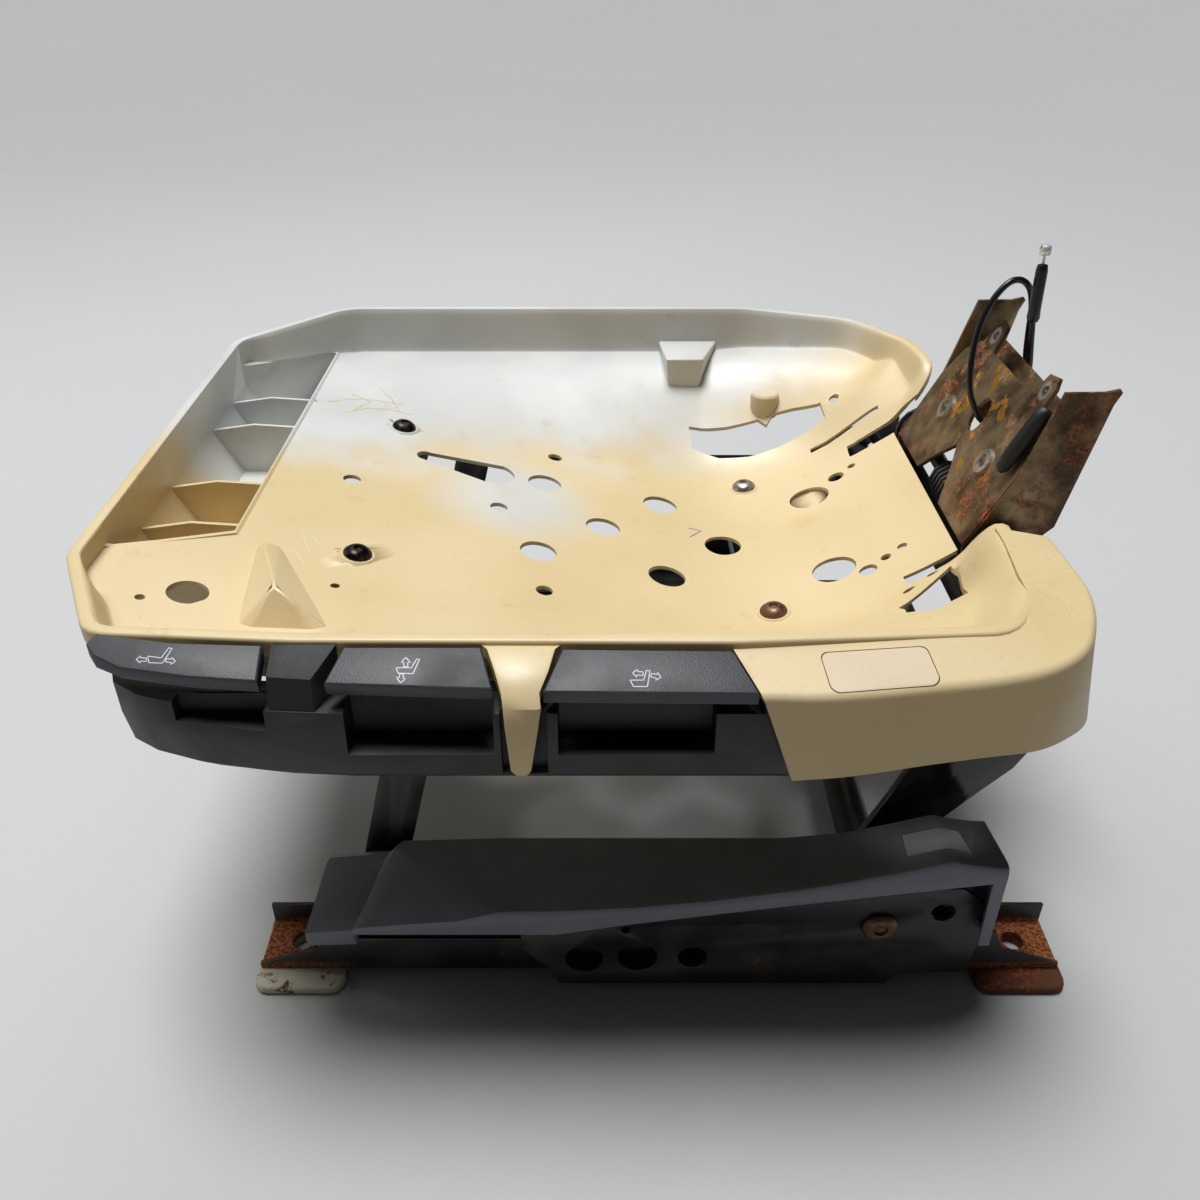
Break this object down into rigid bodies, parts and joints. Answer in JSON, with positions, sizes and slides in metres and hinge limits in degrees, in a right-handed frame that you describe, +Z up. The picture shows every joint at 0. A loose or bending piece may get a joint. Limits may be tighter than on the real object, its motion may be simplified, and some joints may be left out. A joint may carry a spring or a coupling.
{
  "type": "vehicle seat base with slide rails",
  "caption": "Manual vehicle seat base: moulded pan with side paddles on a four-link height linkage, twin floor rails and a reclining backrest bracket.",
  "frame": {"origin": "middle of the whole base, on the floor under the four foot plates", "axes": "+X to the vehicle's rear, +Y to the seat's right (inner) side, +Z up; the paddles are on the -Y side"},
  "size_m": [0.6335, 0.5565, 0.4347],
  "materials": {
    "painted_pan_plastic": "sprayed beige paint on moulded plastic",
    "grained_charcoal_plastic": "fine grained charcoal plastic",
    "dusty_cover_plastic": "dusty dark grey grained plastic",
    "black_painted_steel": "semi-gloss black paint, worn",
    "plated_steel": "dull zinc plating with rust",
    "rusty_steel": "rusty bare steel with paint dabs",
    "cream_foot_paint": "cream paint with rust stains",
    "orange_rust": "orange surface rust",
    "glide_plastic": "white acetal",
    "black_rubber": "black rubber"
  },
  "bodies": {
    "lower_rails": {"lower_rail_left": "black_painted_steel", "lower_rail_right": "black_painted_steel", "front_foot_left": "cream_foot_paint", "front_foot_right": "cream_foot_paint", "rear_foot_left": "orange_rust", "rear_foot_right": "orange_rust", "lock_rack_left": "plated_steel", "lock_rack_right": "plated_steel"},
    "seat_slide": {"upper_rail_left": "black_painted_steel", "upper_rail_right": "black_painted_steel", "side_bracket_left": "black_painted_steel", "side_bracket_right": "black_painted_steel", "glide_cage_left": "glide_plastic", "glide_cage_right": "glide_plastic", "rear_pivot_bolt_left": "plated_steel", "rear_pivot_bolt_right": "plated_steel", "front_pivot_bolt_left": "plated_steel", "front_pivot_bolt_right": "plated_steel", "rail_cover_left": "dusty_cover_plastic", "cover_window_left": "dusty_cover_plastic"},
    "latch_left": {"slide_latch_left": "plated_steel"},
    "latch_right": {"slide_latch_right": "plated_steel"},
    "rear_lift": {"rear_link_left": "black_painted_steel", "rear_link_right": "black_painted_steel", "rear_torque_tube": "black_painted_steel", "rear_upper_shaft": "plated_steel", "height_quadrant": "plated_steel"},
    "front_lift": {"front_link_left": "black_painted_steel", "front_link_right": "black_painted_steel", "front_torque_tube": "black_painted_steel"},
    "seat_body": {"seat_pan": "painted_pan_plastic", "trim_cap": "painted_pan_plastic", "paddle_carrier": "grained_charcoal_plastic", "front_cross_member": "black_painted_steel", "middle_cross_member": "black_painted_steel", "rear_cross_member": "black_painted_steel", "pan_frame_left": "black_painted_steel", "pan_frame_right": "black_painted_steel", "front_pan_bolt_left": "plated_steel", "front_pan_bolt_right": "plated_steel", "rear_pan_bolt_left": "plated_steel", "rear_pan_bolt_right": "plated_steel", "front_upper_pin_left": "plated_steel", "front_upper_pin_right": "plated_steel", "recliner_plate_left": "black_painted_steel", "recliner_plate_right": "black_painted_steel"},
    "height_pawl_body": {"height_pawl": "plated_steel"},
    "slide_paddle_body": {"slide_paddle": "grained_charcoal_plastic"},
    "height_paddle_body": {"height_paddle": "grained_charcoal_plastic"},
    "recline_paddle_body": {"recline_paddle": "grained_charcoal_plastic"},
    "backrest_stub": {"backrest_bracket": "rusty_steel", "recliner_axle": "black_painted_steel", "recliner_spring": "black_painted_steel", "bracket_buffer": "black_rubber", "backrest_cable": "black_rubber", "cable_sleeve": "black_rubber", "cable_nipple": "plated_steel", "recliner_disc_left": "black_painted_steel", "recliner_disc_right": "black_painted_steel"}
  },
  "joints": [
    {"name": "seat_slide_travel", "type": "slide", "parent": "lower_rails", "child": "seat_slide", "axis": [1, 0, 0], "range_m": [-0.1, 0.11]},
    {"name": "rear_lift_turn", "type": "hinge", "parent": "seat_slide", "child": "rear_lift", "pos_m": [0.179, 0.02, 0.0665], "axis": [0, 1, 0], "range_deg": [-6, 38]},
    {"name": "seat_level", "type": "hinge", "parent": "rear_lift", "child": "seat_body", "pos_m": [0.214, 0.02, 0.206], "axis": [0, 1, 0], "range_deg": [-38, 6]},
    {"name": "front_lift_turn", "type": "hinge", "parent": "seat_slide", "child": "front_lift", "pos_m": [-0.156, 0.02, 0.0665], "axis": [0, 1, 0], "range_deg": [-6, 38]},
    {"name": "backrest_recline", "type": "hinge", "parent": "seat_body", "child": "backrest_stub", "pos_m": [0.258, 0.02, 0.268], "axis": [0, 1, 0], "range_deg": [-40, 30]},
    {"name": "slide_latch_left_turn", "type": "hinge", "parent": "seat_slide", "child": "latch_left", "pos_m": [-0.024, -0.183, 0.03], "axis": [0, 1, 0], "range_deg": [-6, 0]},
    {"name": "slide_latch_right_turn", "type": "hinge", "parent": "seat_slide", "child": "latch_right", "pos_m": [-0.024, 0.223, 0.03], "axis": [0, 1, 0], "range_deg": [-6, 0]},
    {"name": "height_pawl_turn", "type": "hinge", "parent": "seat_body", "child": "height_pawl_body", "pos_m": [0.156, -0.154, 0.236], "axis": [0, 1, 0], "range_deg": [-10, 0]},
    {"name": "slide_paddle_lift", "type": "hinge", "parent": "seat_body", "child": "slide_paddle_body", "pos_m": [-0.2227, -0.249, 0.3061], "axis": [-1, 0, 0], "range_deg": [0, 12], "stiffness_Nm_per_rad": 0.5, "springref_deg": -22.92},
    {"name": "height_paddle_lift", "type": "hinge", "parent": "seat_body", "child": "height_paddle_body", "pos_m": [-0.1016, -0.249, 0.3061], "axis": [-1, 0, 0], "range_deg": [0, 12], "stiffness_Nm_per_rad": 0.5, "springref_deg": -22.92},
    {"name": "recline_paddle_lift", "type": "hinge", "parent": "seat_body", "child": "recline_paddle_body", "pos_m": [0.0196, -0.249, 0.3061], "axis": [-1, 0, 0], "range_deg": [0, 12], "stiffness_Nm_per_rad": 0.5, "springref_deg": -22.92}
  ],
  "couplings": [
    {"joint": "seat_level", "follows": "rear_lift_turn", "ratio": -1},
    {"joint": "front_lift_turn", "follows": "rear_lift_turn", "ratio": 1},
    {"joint": "slide_latch_left_turn", "follows": "slide_paddle_lift", "ratio": -0.5},
    {"joint": "slide_latch_right_turn", "follows": "slide_paddle_lift", "ratio": -0.5},
    {"joint": "height_pawl_turn", "follows": "height_paddle_lift", "ratio": -0.8}
  ]
}
